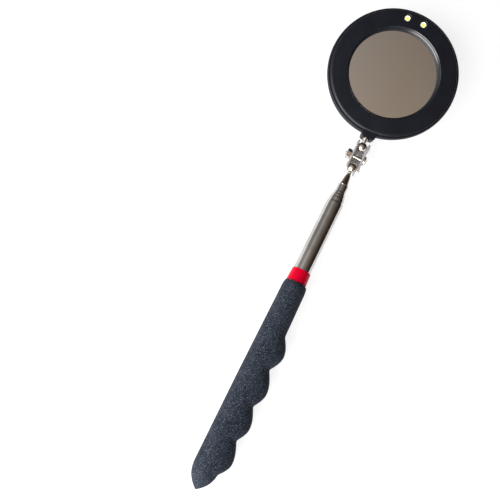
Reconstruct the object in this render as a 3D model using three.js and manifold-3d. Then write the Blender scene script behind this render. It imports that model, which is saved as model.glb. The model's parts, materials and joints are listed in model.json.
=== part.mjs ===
// Telescoping inspection mirror with a lit round head, in millimetres.
// The shaft lies along +Y with the head at the +Y end, the mirror looks up (+Z) and the grip's
// finger bumps point to +X. The origin is the centre of the footprint, on the surface it lies on.
import * as THREE from "three";
import { mergeVertices } from "three/addons/utils/BufferGeometryUtils.js";
import Module from "manifold-3d";

const wasm = await Module();
wasm.setup();

// ---------------------------------------------------------------- driving dimensions
const CLOSED_LENGTH = 285; // grip end to far rim, stages pushed in and head straight
const HEAD_RADIUS = 37.5;
const HEAD_THICKNESS = 12;
const HEAD_TILT = THREE.MathUtils.degToRad(10.8); // how the head stands at rest
const HEAD_LEAN = THREE.MathUtils.degToRad(4.3);

const GRIP_END = 114.7;
const GRIP_HALF_HEIGHT = 6.9;
const COLLAR = { start: 115, end: 122.4, startRadius: 5.63, endRadius: 5.23 };

const TUBE_RADII = [4.9, 4.44, 3.98, 3.53, 3.07]; // outside, tube_1 to tube_5
const TUBE_WALL = 0.25;
const TUBE_STARTS = [6, 9.5, 11, 12.5, 14];
const TUBE_ENDS = [165.4, 168.2, 170.1, 171.9, 176.8];
const LIP_LENGTH = 1;
const RUNNING_GAP = 0.12;
const BUSH_LENGTH = 5;

const BALL_RADIUS = 3;
const LOWER_BALL_Y = 188.35;
const UPPER_BALL_Y = 202.1;
const SCREW_Y = (LOWER_BALL_Y + UPPER_BALL_Y) / 2;
const LEG_INSIDE = 2.75; // half the gap between the clip's legs
const SHEET = 1; // thickness of the clip's sheet
const LEG_TOP = 2.6;
const WEB_BACK = -4.3;
const DOME_RADIUS = 4.6; // pressed out of the legs over each ball
const WEB_NOTCH = 2.2; // half the width of the openings in the clip's web
const WEB_HOLE = 1.6; // radius at their inner ends
const STUD_RADIUS = 1.3;
const FLANGE_RADIUS = 1.75; // the ring that holds the stud in the neck

const REACH = CLOSED_LENGTH - HEAD_RADIUS - UPPER_BALL_Y; // upper ball to the head's centre
const STUD_DEPTH = 2.75; // stud axis below the ring's face
const WIDEST_DEPTH = 2.75; // the head's widest circle below the ring's face
const FLOOR_DEPTH = HEAD_THICKNESS - 1.4; // inside face of the back cover
const OPENING_RADIUS = 25.2;
const GLASS_RADIUS = 27.1;
const LED = { x: 4.85, y: 31.7, radius: 1.5, hole: 2 };
const COVER_SCREW_CIRCLE = 30.3;
const COVER_SCREW_ANGLES = [40, 140, 220, 320];
const CELL = { x: 10.6, y: -4, radius: 10, near: 6.4, thickness: 3.2 };
const DOOR = { left: -22.2, right: 26.6, halfHeight: 11.4, screwX: 24 };
const SWITCH_Y = 30.4;
const KNOB_REST_X = -1.25; // the knob's off position; it slides 2.5 mm to +X
const NECK_HALF_WIDTH = 4;
const NECK_OFFSET = 0.7; // the neck stands a little to the right of the stud
const NECK_TIP = -REACH + 5.4; // end of the neck's lobes, from the head's centre

const TUBE_SIDES = 24;
const HEAD_SIDES = 40;

// ---------------------------------------------------------------- materials
function material(color, roughness, metalness) {
  return new THREE.MeshStandardMaterial({ color, roughness, metalness });
}

const rubber = material(0x2b3039, 0.85, 0);
const blackPlastic = material(0x1f222b, 0.4, 0);
const greyPlastic = material(0x4a4d52, 0.6, 0);
const redMetal = material(0xe00026, 0.3, 0.4);
const chrome = material(0xc8c8c8, 0.12, 1);
const steel = material(0x9b9a9c, 0.35, 1);
const brass = material(0xb89a54, 0.35, 1);
const silvered = material(0x8f8475, 0.03, 1);
const lens = material(0xf4f0a0, 0.15, 0);
const board = material(0x1c5a38, 0.5, 0);
const foam = material(0xe6e2d8, 0.9, 0);

// ---------------------------------------------------------------- shape helpers
function toSolid(geometry) {
  const bare = geometry.clone();
  bare.deleteAttribute("normal");
  bare.deleteAttribute("uv");
  const merged = mergeVertices(bare, 1e-4);
  const kept = [];
  const index = merged.index.array;
  for (let i = 0; i < index.length; i += 3) {
    const [a, b, c] = [index[i], index[i + 1], index[i + 2]];
    if (a !== b && b !== c && c !== a) kept.push(a, b, c);
  }
  if (signedVolume(merged.attributes.position, kept) < 0) kept.reverse();
  const mesh = new wasm.Mesh({
    numProp: 3,
    vertProperties: Float32Array.from(merged.attributes.position.array),
    triVerts: Uint32Array.from(kept),
  });
  return new wasm.Manifold(mesh);
}

function signedVolume(position, index) {
  const [a, b, c] = [new THREE.Vector3(), new THREE.Vector3(), new THREE.Vector3()];
  let volume = 0;
  for (let i = 0; i < index.length; i += 3) {
    a.fromBufferAttribute(position, index[i]);
    b.fromBufferAttribute(position, index[i + 1]);
    c.fromBufferAttribute(position, index[i + 2]);
    volume += a.dot(b.cross(c)) / 6;
  }
  return volume;
}

function toGeometry(solid) {
  const mesh = solid.getMesh();
  const geometry = new THREE.BufferGeometry();
  geometry.setAttribute("position", new THREE.BufferAttribute(mesh.vertProperties, 3));
  geometry.setIndex(new THREE.BufferAttribute(mesh.triVerts, 1));
  geometry.computeVertexNormals();
  return geometry;
}

// Turns an outline of [radius, along] points about the Y axis.
function turned(outline, sides = TUBE_SIDES) {
  const points = outline.map(([radius, along]) => new THREE.Vector2(radius, along));
  const closed = outline[0][0] > 0 || outline[outline.length - 1][0] > 0;
  if (closed) points.push(points[0].clone());
  return toSolid(new THREE.LatheGeometry(points, sides));
}

// Turns an outline about the head's Z axis; the second number is the height.
function turnedUp(outline, sides = HEAD_SIDES) {
  return turned(outline, sides).rotate([90, 0, 0]);
}

function disc(radius, low, high, x = 0, y = 0, sides = 14) {
  const outline = [[0, low], [radius, low], [radius, high], [0, high]];
  return turnedUp(outline, sides).translate([x, y, 0]);
}

function rod(radius, start, end, sides = TUBE_SIDES) {
  return turned([[0, start], [radius, start], [radius, end], [0, end]], sides);
}

function box(low, high) {
  const size = low.map((value, i) => high[i] - value);
  const middle = low.map((value, i) => (high[i] + value) / 2);
  return toSolid(new THREE.BoxGeometry(...size)).translate(middle);
}

function ball(radius, sides, y) {
  return toSolid(new THREE.SphereGeometry(radius, sides, Math.round(sides / 2))).translate([0, y, 0]);
}

function slab(shape, low, high, curveSegments = 5) {
  const options = { depth: high - low, bevelEnabled: false, curveSegments };
  return toSolid(new THREE.ExtrudeGeometry(shape, options)).translate([0, 0, low]);
}

function roundedRectangle(left, bottom, right, top, radius) {
  const shape = new THREE.Shape();
  shape.moveTo(left + radius, bottom);
  shape.lineTo(right - radius, bottom);
  shape.absarc(right - radius, bottom + radius, radius, -Math.PI / 2, 0);
  shape.lineTo(right, top - radius);
  shape.absarc(right - radius, top - radius, radius, 0, Math.PI / 2);
  shape.lineTo(left + radius, top);
  shape.absarc(left + radius, top - radius, radius, Math.PI / 2, Math.PI);
  shape.lineTo(left, bottom + radius);
  shape.absarc(left + radius, bottom + radius, radius, Math.PI, 1.5 * Math.PI);
  return shape;
}

function arcBand(inner, outer, from, to) {
  const shape = new THREE.Shape();
  shape.absarc(0, 0, outer, from, to);
  shape.absarc(0, 0, inner, to, from, true);
  shape.closePath();
  return shape;
}

function polar(radius, degrees) {
  const angle = THREE.MathUtils.degToRad(degrees);
  return [radius * Math.cos(angle), radius * Math.sin(angle)];
}

function piece(name, solid, surface) {
  const mesh = new THREE.Mesh(toGeometry(solid), surface);
  mesh.name = name;
  return mesh;
}

// ---------------------------------------------------------------- handle
// How far the grip reaches to the bump side, as [y, reach]; crests and sharp valleys take turns.
const BUMP_SIDE = [
  [11, 7], [18.5, 11.2], [29.4, 7.9], [37.4, 11.5], [47.9, 8], [56.3, 11.65],
  [67.9, 7.4], [76.9, 11.4], [86.6, 7.4],
];
const GRIP_TAIL = 14; // length of the pointed end
const GRIP_SHOULDER = 5; // length over which the front end draws in

function bumpReach(y) {
  const next = BUMP_SIDE.findIndex(([along]) => along > y);
  if (next === 0) return BUMP_SIDE[0][1];
  if (next < 0) return 7.4 - 0.5 * THREE.MathUtils.smoothstep(y, 86.6, 108);
  const [fromY, from] = BUMP_SIDE[next - 1];
  const [toY, to] = BUMP_SIDE[next];
  const quarter = ((Math.PI / 2) * (y - fromY)) / (toY - fromY);
  return to > from ? from + (to - from) * Math.sin(quarter) : to + (from - to) * Math.cos(quarter);
}

// Share of the full section that is left at the pointed tail and at the drawn-in front end.
function endShare(y) {
  const tail = y < GRIP_TAIL ? 1 - Math.pow(1 - y / GRIP_TAIL, 2.8) : 1;
  const left = Math.max(0, (y - GRIP_END + GRIP_SHOULDER) / GRIP_SHOULDER);
  return tail * (1 - 0.08 * Math.pow(left, 3));
}

function makeGrip() {
  const sides = 20;
  const backReach = (y) => 6.85 - 0.45 * THREE.MathUtils.smoothstep(y, 60, 108);
  const stations = [];
  for (let y = 0.8; y < GRIP_TAIL; y += 2.2) stations.push(y);
  for (let y = GRIP_TAIL + 1; y < 90; y += 3) stations.push(y);
  stations.push(96, 108, 111, 113.5, GRIP_END);
  const position = [0, 0, 0];
  for (const y of stations) {
    for (let i = 0; i < sides; i += 1) {
      const angle = (2 * Math.PI * i) / sides;
      const reach = Math.cos(angle) > 0 ? bumpReach(y) : backReach(y);
      const share = endShare(y);
      position.push(reach * share * Math.cos(angle), y, GRIP_HALF_HEIGHT * share * Math.sin(angle));
    }
  }
  position.push(0, GRIP_END, 0);
  const index = [];
  const last = stations.length - 1;
  for (let i = 0; i < sides; i += 1) {
    const next = (i + 1) % sides;
    index.push(0, 1 + i, 1 + next);
    for (let row = 0; row < last; row += 1) {
      const [a, b] = [1 + row * sides + i, 1 + row * sides + next];
      index.push(a, a + sides, b, b, a + sides, b + sides);
    }
    index.push(1 + last * sides + next, 1 + last * sides + i, position.length / 3 - 1);
  }
  const geometry = new THREE.BufferGeometry();
  geometry.setAttribute("position", new THREE.Float32BufferAttribute(position, 3));
  geometry.setIndex(index);
  const socket = rod(TUBE_RADII[0] + RUNNING_GAP, TUBE_STARTS[0] - 0.5, GRIP_END + 5);
  return toSolid(geometry).subtract(socket);
}

function makeCollar() {
  const inside = TUBE_RADII[0] + RUNNING_GAP;
  const { start, end, startRadius, endRadius } = COLLAR;
  const edge = 0.12;
  return turned([
    [inside, start], [startRadius - edge, start], [startRadius, start + edge],
    [endRadius, end - edge], [endRadius - edge, end], [inside, end],
  ]);
}

function makeTube(stage) {
  const [outside, start, end] = [TUBE_RADII[stage], TUBE_STARTS[stage], TUBE_ENDS[stage]];
  const bore = outside - TUBE_WALL;
  const next = TUBE_RADII[stage + 1];
  const mouth = next ? next + RUNNING_GAP : bore;
  const outline = [
    [bore, start], [outside, start], [outside, end - 0.3], [outside - 0.15, end], [mouth, end],
  ];
  if (next) outline.push([mouth, end - LIP_LENGTH], [bore, end - LIP_LENGTH - 0.4]);
  return turned(outline);
}

// A strip bent to a C around the lower end of a moving tube.
function makeBush(stage) {
  const inner = TUBE_RADII[stage] + 0.04;
  const outer = inner + 0.12;
  const start = TUBE_STARTS[stage] + 0.5;
  const end = start + BUSH_LENGTH;
  const split = box([0, start - 1, -1], [outer + 1, end + 1, 1]);
  return turned([[inner, start], [outer, start], [outer, end], [inner, end]]).subtract(split);
}

// ---------------------------------------------------------------- knuckle
function makeTipCone() {
  const end = TUBE_ENDS[4];
  const spigot = TUBE_RADII[4] - TUBE_WALL - 0.2;
  const seat = LOWER_BALL_Y - BALL_RADIUS - RUNNING_GAP;
  return turned([
    [0, end - 8], [spigot, end - 8], [spigot, end + 0.12], [2.45, end + 0.12], [2.45, end + 0.5],
    [1.35, seat - 1.2], [0.95, seat - 0.9], [0.95, seat], [0, seat],
  ], 20);
}

function makeClip() {
  const outside = LEG_INSIDE + SHEET;
  const [low, high] = [LOWER_BALL_Y - BALL_RADIUS, UPPER_BALL_Y + BALL_RADIUS];
  const side = roundedRectangle(low, WEB_BACK, high, LEG_TOP, 2);
  const legs = slab(side, -outside, outside).rotate([90, 0, 90]);
  const gap = box([-LEG_INSIDE, 0, WEB_BACK + SHEET], [LEG_INSIDE, CLOSED_LENGTH, 10]);
  let clip = legs.subtract(gap);
  for (const y of [LOWER_BALL_Y, UPPER_BALL_Y]) {
    const half = LEG_INSIDE + SHEET / 2;
    const core = box([-half, 0, -10], [half, CLOSED_LENGTH, 10]);
    const away = y === LOWER_BALL_Y ? low - 1 : high + 1;
    const notch = box([-WEB_NOTCH, Math.min(y, away), -10], [WEB_NOTCH, Math.max(y, away), 0]);
    clip = clip.add(ball(DOME_RADIUS, 18, y).subtract(core));
    clip = clip.subtract(ball(BALL_RADIUS + 0.2, 18, y));
    clip = clip.subtract(disc(WEB_HOLE, -10, 0, 0, y)).subtract(notch);
  }
  return clip.subtract(acrossClip(rod(1.5, -10, 10, 16)));
}

// Turns a solid made along Y so that it points along +X, at the clamp screw's place.
function acrossClip(solid) {
  return solid.rotate([0, 0, -90]).translate([0, SCREW_Y, 0]);
}

function makeClampScrew() {
  const seat = LEG_INSIDE + SHEET + 0.15;
  const body = turned([
    [0, -7.3], [0.9, -7.3], [1.3, -6.9], [1.3, seat], [3.2, seat], [3.2, seat + 0.5],
    [2.85, seat + 1.3], [2, seat + 1.9], [0, seat + 2.15],
  ], 16);
  let recess = box([-0.4, seat + 0.9, -1.7], [0.4, seat + 3, 1.7]);
  recess = recess.add(box([-1.7, seat + 0.9, -0.4], [1.7, seat + 3, 0.4]));
  return acrossClip(body.subtract(recess));
}

function makeClampNut() {
  const seat = -(LEG_INSIDE + SHEET + 0.15);
  const thickness = 2.8;
  const corner = 2.6 / Math.cos(Math.PI / 6);
  const hexagon = rod(corner, seat - thickness, seat, 6);
  const chamfer = turned([
    [0, seat - thickness], [2.5, seat - thickness], [corner + 0.1, seat - thickness + 0.5],
    [corner + 0.1, seat - 0.5], [2.5, seat], [0, seat],
  ], 18);
  return acrossClip(hexagon.intersect(chamfer).subtract(rod(1.45, -10, 0, 16)));
}

// ---------------------------------------------------------------- head, centred on its ring's face
function studBore(radius, start, end) {
  return rod(radius, start, end, 16).translate([0, 0, -STUD_DEPTH]);
}

// The half of the neck between two heights, with the channel that holds the stud.
function neckBlock(low, high, clearance = 0) {
  const half = NECK_HALF_WIDTH + clearance;
  const shape = roundedRectangle(-half, NECK_TIP - clearance, half, -31, 1.7);
  return slab(shape, low, high).translate([NECK_OFFSET, 0, 0]);
}

function neckChannel() {
  const bore = STUD_RADIUS + 0.25;
  const slot = box([-bore, NECK_TIP - 1, -STUD_DEPTH], [bore + 0.4, NECK_TIP + 0.7, 1]);
  const flange = studBore(FLANGE_RADIUS + 0.2, -37.65, -36.15);
  return studBore(bore, NECK_TIP - 1, -32.6).add(flange).add(slot);
}

function makeStud() {
  const root = -REACH + BALL_RADIUS + RUNNING_GAP;
  return turned([
    [0, root], [STUD_RADIUS, root], [STUD_RADIUS, -37.4], [FLANGE_RADIUS, -37.4], [FLANGE_RADIUS, -36.4],
    [STUD_RADIUS, -36.4], [STUD_RADIUS, -33.2], [0, -33.2],
  ], 16).translate([0, 0, -STUD_DEPTH]);
}

function makeBezel() {
  let ring = turnedUp([
    [OPENING_RADIUS, -2.4], [25.3, -1.55], [26.85, 0], [34.6, 0], [35.4, -0.18],
    [35.95, -0.65], [36.2, -1.4], [36.2, -3.2], [35, -3.2], [35, -1.8], [28.9, -1.8],
    [28.9, -4.4], [27.4, -4.4], [27.4, -2.4],
  ]);
  for (const angle of COVER_SCREW_ANGLES) {
    const [x, y] = polar(COVER_SCREW_CIRCLE, angle);
    ring = ring.add(disc(2.2, -6.2, -1.7, x, y)).subtract(disc(1.1, -7, -2.4, x, y));
  }
  ring = ring.subtract(disc(27.4, -5, -2.4, 0, 0, HEAD_SIDES));
  const front = neckBlock(-STUD_DEPTH + 0.1, -0.4).subtract(disc(28, -5, 1, 0, 0, HEAD_SIDES));
  ring = ring.add(front).subtract(neckChannel());
  for (const side of [-1, 1]) ring = ring.subtract(disc(LED.hole, -3, 1, side * LED.x, LED.y));
  return ring;
}

function makeBackCover() {
  const floor = -FLOOR_DEPTH;
  const back = -HEAD_THICKNESS;
  let cover = turnedUp([
    [0, back], [33.4, back], [34.4, back + 0.7], [34.9, back + 1.7], [36.95, -5.5],
    [HEAD_RADIUS, -WIDEST_DEPTH], [37.3, -2], [36.9, -1.55], [36.5, -1.5], [36.5, -3.4],
    [35.5, -3.6], [33.5, floor + 0.8], [32.7, floor], [0, floor],
  ]);
  const inside = disc(33.2, -8, 0, 0, 0, HEAD_SIDES).add(disc(36.5, -3.4, 0, 0, 0, HEAD_SIDES));
  cover = cover.add(neckBlock(-7.2, -STUD_DEPTH - 0.1).subtract(inside));
  cover = cover.subtract(neckBlock(-STUD_DEPTH - 0.1, 0, 0.25)).subtract(neckChannel());
  for (const angle of COVER_SCREW_ANGLES) {
    const [x, y] = polar(COVER_SCREW_CIRCLE, angle);
    cover = cover.add(disc(2.9, floor - 0.1, -6.5, x, y));
    cover = cover.subtract(disc(1.2, back - 1, 0, x, y)).subtract(disc(2.1, back - 1, back + 1.8, x, y));
  }
  const { left, right, halfHeight } = DOOR;
  const [bottom, top] = [CELL.y - halfHeight, CELL.y + halfHeight];
  const opening = roundedRectangle(left - 0.2, bottom - 0.2, right + 0.2, top + 0.2, 3.2);
  const slot = roundedRectangle(-3, SWITCH_Y - 1.1, 3, SWITCH_Y + 1.1, 0.8);
  return cover.subtract(slab(opening, back - 1, floor + 1)).subtract(slab(slot, back - 1, floor + 1));
}

function makeCoverScrew(angle) {
  const [x, y] = polar(COVER_SCREW_CIRCLE, angle);
  const back = -HEAD_THICKNESS;
  const screw = turnedUp([
    [0, back + 0.3], [1.7, back + 0.3], [1.85, back + 0.6], [1.85, back + 1.6], [0.9, back + 1.6],
    [0.9, -3.2], [0, -2.8],
  ], 12);
  return screw.subtract(crossRecess(back)).translate([x, y, 0]);
}

function crossRecess(back) {
  const one = box([-1.1, -0.25, back - 1], [1.1, 0.25, back + 0.9]);
  return one.add(box([-0.25, -1.1, back - 1], [0.25, 1.1, back + 0.9]));
}

function makeDoor() {
  const { left, right, halfHeight, screwX } = DOOR;
  const [back, floor] = [-HEAD_THICKNESS, -FLOOR_DEPTH];
  const shape = roundedRectangle(left, CELL.y - halfHeight, right, CELL.y + halfHeight, 3);
  const tongue = box([left - 1.8, CELL.y - 3, floor + 0.15], [left + 2, CELL.y + 3, floor + 0.9]);
  const root = box([left + 0.6, CELL.y - 3, floor - 0.1], [left + 2, CELL.y + 3, floor + 0.3]);
  const hole = disc(1.1, back - 1, 0, screwX, CELL.y).add(disc(1.95, back - 1, back + 0.8, screwX, CELL.y));
  return slab(shape, back, floor).add(tongue).add(root).subtract(hole);
}

function makeDoorScrew() {
  const back = -HEAD_THICKNESS;
  const screw = turnedUp([
    [0, back + 0.1], [1.6, back + 0.1], [1.7, back + 0.3], [0.8, back + 1.1], [0.8, -6.6], [0, -6.3],
  ], 12);
  return screw.subtract(crossRecess(back - 0.3)).translate([DOOR.screwX, CELL.y, 0]);
}

function makeTray() {
  const wall = CELL.radius + 1.2;
  const plate = disc(26.8, -5.8, -5, 0, 0, 24);
  const post = disc(2, -10.3, -5.6, DOOR.screwX, CELL.y);
  let tray = plate.add(post).subtract(disc(1, -11, -5.9, DOOR.screwX, CELL.y));
  for (const side of [-1, 1]) tray = tray.add(disc(wall, -9.4, -5.6, side * CELL.x, CELL.y, 24));
  for (const side of [-1, 1]) {
    tray = tray.subtract(disc(CELL.radius + 0.3, -11, -5.8, side * CELL.x, CELL.y, 24));
  }
  return tray;
}

function makeCell(side) {
  const near = -CELL.near;
  const far = near - CELL.thickness;
  const cell = turnedUp([
    [0, far], [CELL.radius - 0.2, far], [CELL.radius, far + 0.2], [CELL.radius, near - 0.9],
    [CELL.radius - 1.1, near - 0.5], [CELL.radius - 1.3, near], [0, near],
  ], 24);
  return cell.translate([side * CELL.x, CELL.y, 0]);
}

function makeLed(side) {
  const crown = -0.4 - LED.radius;
  const outline = [[0, -6], [1.9, -6], [1.9, -5], [LED.radius, -5], [LED.radius, crown]];
  for (const degrees of [30, 60]) {
    const [radius, rise] = polar(LED.radius, degrees);
    outline.push([radius, crown + rise]);
  }
  outline.push([0, crown + LED.radius]);
  return turnedUp(outline, 16).translate([side * LED.x, LED.y, 0]);
}

function makeBoard() {
  const spread = THREE.MathUtils.degToRad(28);
  return slab(arcBand(27.6, 33.2, Math.PI / 2 - spread, Math.PI / 2 + spread), -7, -6.15, 8);
}

function makeSwitchBody() {
  return box([-4.3, SWITCH_Y - 1.8, -9.7], [4.3, SWITCH_Y + 1.8, -7.15]);
}

function makeKnob() {
  const back = -HEAD_THICKNESS;
  const cap = roundedRectangle(-2.9, SWITCH_Y - 1.8, 2.9, SWITCH_Y + 1.8, 0.8);
  let knob = slab(cap, back - 1.4, back - 0.3);
  knob = knob.add(box([-1.2, SWITCH_Y - 0.8, back - 0.5], [1.2, SWITCH_Y + 0.8, -9.9]));
  for (const x of [-1.6, -0.8, 0, 0.8, 1.6]) {
    knob = knob.subtract(box([x - 0.15, SWITCH_Y - 3, back - 2], [x + 0.15, SWITCH_Y + 3, back - 1.15]));
  }
  return knob.translate([KNOB_REST_X, 0, 0]);
}

function strip(x, y, halfLength, halfWidth, low, high) {
  return box([x - halfLength, y - halfWidth, low], [x + halfLength, y + halfWidth, high]);
}

// ---------------------------------------------------------------- assembly
const mirror = new THREE.Group();

mirror.add(piece("grip", makeGrip(), rubber));
mirror.add(piece("red_collar", makeCollar(), redMetal));
mirror.add(piece("end_plug", rod(TUBE_RADII[0] - TUBE_WALL - 0.15, TUBE_STARTS[0], 9), greyPlastic));
for (let stage = 0; stage < TUBE_RADII.length; stage += 1) {
  mirror.add(piece(`tube_${stage + 1}`, makeTube(stage), chrome));
  if (stage > 0) mirror.add(piece(`bush_${stage + 1}`, makeBush(stage), brass));
}

mirror.add(piece("tip_cone", makeTipCone(), chrome));
mirror.add(piece("lower_ball", ball(BALL_RADIUS, 16, LOWER_BALL_Y), chrome));
mirror.add(piece("clip", makeClip(), steel));
mirror.add(piece("clamp_screw", makeClampScrew(), chrome));
mirror.add(piece("clamp_nut", makeClampNut(), chrome));
mirror.add(piece("upper_ball", ball(BALL_RADIUS, 16, UPPER_BALL_Y), chrome));

// The head and its stud turn about the upper ball: a tilt, then a lean in the head's own plane.
const tilted = new THREE.Group();
tilted.position.set(0, UPPER_BALL_Y, 0);
tilted.rotation.x = HEAD_TILT;
const leaned = new THREE.Group();
leaned.rotation.z = HEAD_LEAN;
const head = new THREE.Group();
head.position.set(0, REACH, STUD_DEPTH);
tilted.add(leaned);
leaned.add(head);
mirror.add(tilted);

head.add(piece("upper_stud", makeStud(), chrome));
head.add(piece("bezel", makeBezel(), blackPlastic));
head.add(piece("mirror", disc(GLASS_RADIUS, -4.25, -2.5, 0, 0, HEAD_SIDES), silvered));
head.add(piece("mirror_pad", disc(24.5, -4.85, -4.4, 0, 0, 24), foam));
head.add(piece("circuit_board", makeBoard(), board));
head.add(piece("switch_body", makeSwitchBody(), steel));
head.add(piece("switch_knob", makeKnob(), greyPlastic));
head.add(piece("battery_tray", makeTray(), greyPlastic));
for (const [number, side] of [[1, -1], [2, 1]]) {
  head.add(piece(`led_${number}`, makeLed(side), lens));
  head.add(piece(`coin_cell_${number}`, makeCell(side), steel));
  const contact = strip(side * CELL.x, CELL.y, 6, 2.5, -6.2, -5.95);
  head.add(piece(`cell_contact_${number}`, contact, brass));
}
head.add(piece("cell_link", strip(0, CELL.y, 15, 3, -10.25, -9.95), brass));
head.add(piece("back_cover", makeBackCover(), blackPlastic));
head.add(piece("battery_door", makeDoor(), blackPlastic));
head.add(piece("battery_door_screw", makeDoorScrew(), steel));
COVER_SCREW_ANGLES.forEach((angle, i) => {
  head.add(piece(`cover_screw_${i + 1}`, makeCoverScrew(angle), steel));
});

// Put the origin at the middle of the footprint.
mirror.updateMatrixWorld(true);
const bounds = new THREE.Box3().setFromObject(mirror, true);
const middle = bounds.getCenter(new THREE.Vector3());
mirror.position.set(-middle.x, -middle.y, -bounds.min.z);
mirror.updateMatrixWorld(true);

export default mirror;
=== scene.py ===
"""How the telescoping inspection mirror looks: its fine shapes, materials, light and camera.

Shapes are made in millimetres in one of two spaces and placed by that space's matrix. The shaft's space has
Y along the shaft from the grip's end; the head's space has Z out of the mirror and Y away from the neck. Both
come from the frame.
"""

import json
import math

import bmesh
import bpy
from mathutils import Matrix, Vector


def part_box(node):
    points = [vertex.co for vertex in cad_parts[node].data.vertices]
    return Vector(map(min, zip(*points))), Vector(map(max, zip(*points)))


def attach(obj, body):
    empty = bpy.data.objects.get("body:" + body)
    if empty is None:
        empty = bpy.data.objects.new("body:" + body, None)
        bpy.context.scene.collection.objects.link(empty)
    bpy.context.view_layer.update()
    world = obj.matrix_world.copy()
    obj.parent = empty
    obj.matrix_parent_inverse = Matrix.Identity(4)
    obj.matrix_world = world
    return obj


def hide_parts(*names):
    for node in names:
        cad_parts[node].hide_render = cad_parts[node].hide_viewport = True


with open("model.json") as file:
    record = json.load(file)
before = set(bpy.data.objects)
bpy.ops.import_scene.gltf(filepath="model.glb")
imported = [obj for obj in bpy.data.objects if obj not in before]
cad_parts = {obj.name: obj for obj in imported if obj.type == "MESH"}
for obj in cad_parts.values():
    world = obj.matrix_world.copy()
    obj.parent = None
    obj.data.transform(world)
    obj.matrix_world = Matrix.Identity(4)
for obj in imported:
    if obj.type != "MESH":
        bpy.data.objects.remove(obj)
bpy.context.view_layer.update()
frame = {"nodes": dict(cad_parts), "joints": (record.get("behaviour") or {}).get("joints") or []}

MM = 0.001
JOINTS = {joint["name"]: joint for joint in frame["joints"]}


# ---------------------------------------------------------------- spaces
def shaft_space():
    low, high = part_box("tube_1")
    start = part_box("grip")[0].y
    origin = ((low.x + high.x) / 2, start, (low.z + high.z) / 2)
    return Matrix.Translation(origin) @ Matrix.Scale(MM, 4)


def head_space():
    normal = Vector(JOINTS["upper_lean"]["axis"]).normalized()
    along = Vector(JOINTS["head_spin"]["axis"]).normalized()
    low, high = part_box("mirror")
    middle = (low + high) / 2
    face = max(vertex.co.dot(normal) for vertex in frame["nodes"]["bezel"].data.vertices)
    origin = middle + normal * (face - middle.dot(normal))
    turn = Matrix((along.cross(normal), along, normal)).transposed().to_4x4()
    return Matrix.Translation(origin) @ turn @ Matrix.Scale(MM, 4)


SHAFT = shaft_space()
HEAD = head_space()


def extent(node, space):
    """Lowest and highest corners of a CAD node, in a space's own millimetres."""
    inverse = space.inverted()
    points = [inverse @ vertex.co for vertex in frame["nodes"][node].data.vertices]
    lowest = Vector([min(point[i] for point in points) for i in range(3)])
    highest = Vector([max(point[i] for point in points) for i in range(3)])
    return lowest, highest


def along_shaft(node):
    """A shaft node's start, end and outer radius in millimetres."""
    low, high = extent(node, SHAFT)
    return low.y, high.y, (high.x - low.x) / 2


# ---------------------------------------------------------------- shape helpers
def rounded(corners, segments=5):
    """The outline through (a, b) corners; a third number is the radius of the arc at that corner."""
    points = []
    for i, corner in enumerate(corners):
        here = Vector(corner[:2])
        if len(corner) < 3:
            points.append(here)
            continue
        to_last = (Vector(corners[i - 1][:2]) - here).normalized()
        to_next = (Vector(corners[(i + 1) % len(corners)][:2]) - here).normalized()
        half = to_last.angle(to_next) / 2
        centre = here + (to_last + to_next).normalized() * (corner[2] / math.sin(half))
        reach = corner[2] / math.tan(half)
        first, last = here + to_last * reach - centre, here + to_next * reach - centre
        start = math.atan2(first.y, first.x)
        turn = math.remainder(math.atan2(last.y, last.x) - start, 2 * math.pi)
        for step in range(segments + 1):
            angle = start + turn * step / segments
            points.append(centre + corner[2] * Vector((math.cos(angle), math.sin(angle))))
    return points


def arc(centre, radius, start, end, segments=10):
    """Points on an arc about centre, from one angle to another in degrees."""
    points = []
    for step in range(segments + 1):
        angle = math.radians(start + (end - start) * step / segments)
        points.append((centre[0] + radius * math.cos(angle), centre[1] + radius * math.sin(angle)))
    return points


def circle(radius, step, x=0.0, y=0.0):
    """Points round a circle, one every step degrees."""
    angles = [math.radians(angle) for angle in range(0, 360, step)]
    return [(x + radius * math.cos(angle), y + radius * math.sin(angle)) for angle in angles]


def rectangle(left, bottom, right, top, radius):
    corners = [(left, bottom), (right, bottom), (right, top), (left, top)]
    return rounded([(*corner, radius) for corner in corners])


def to_piece(name, bm):
    bmesh.ops.recalc_face_normals(bm, faces=bm.faces)
    mesh = bpy.data.meshes.new(name)
    bm.to_mesh(mesh)
    bm.free()
    piece = bpy.data.objects.new(name, mesh)
    bpy.context.scene.collection.objects.link(piece)
    return piece


AXES = {
    "X": Matrix(((0, 0, 1), (0, 1, 0), (-1, 0, 0))),
    "Y": Matrix(((1, 0, 0), (0, 0, 1), (0, -1, 0))),
    "Z": Matrix.Identity(3),
}


def lathe(name, outline, axis="Y", sides=96, at=(0, 0, 0)):
    """Turns an outline of (radius, along) points about an axis through a point."""
    bm = bmesh.new()
    turn = AXES[axis]
    rings = []
    for radius, along in outline:
        count = sides if radius > 1e-6 else 1
        angles = [2 * math.pi * i / sides for i in range(count)]
        ring = [turn @ Vector((radius * math.cos(a), radius * math.sin(a), along)) for a in angles]
        rings.append([bm.verts.new(point + Vector(at)) for point in ring])
    if len(rings[0]) > 1:
        rings.append(rings[0])
    for low, high in zip(rings, rings[1:]):
        if len(low) == len(high) == 1:
            continue
        for i in range(sides):
            j = (i + 1) % sides
            corners = [low[i % len(low)], low[j % len(low)], high[j % len(high)], high[i % len(high)]]
            bm.faces.new(dict.fromkeys(corners))
    return to_piece(name, bm)


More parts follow.
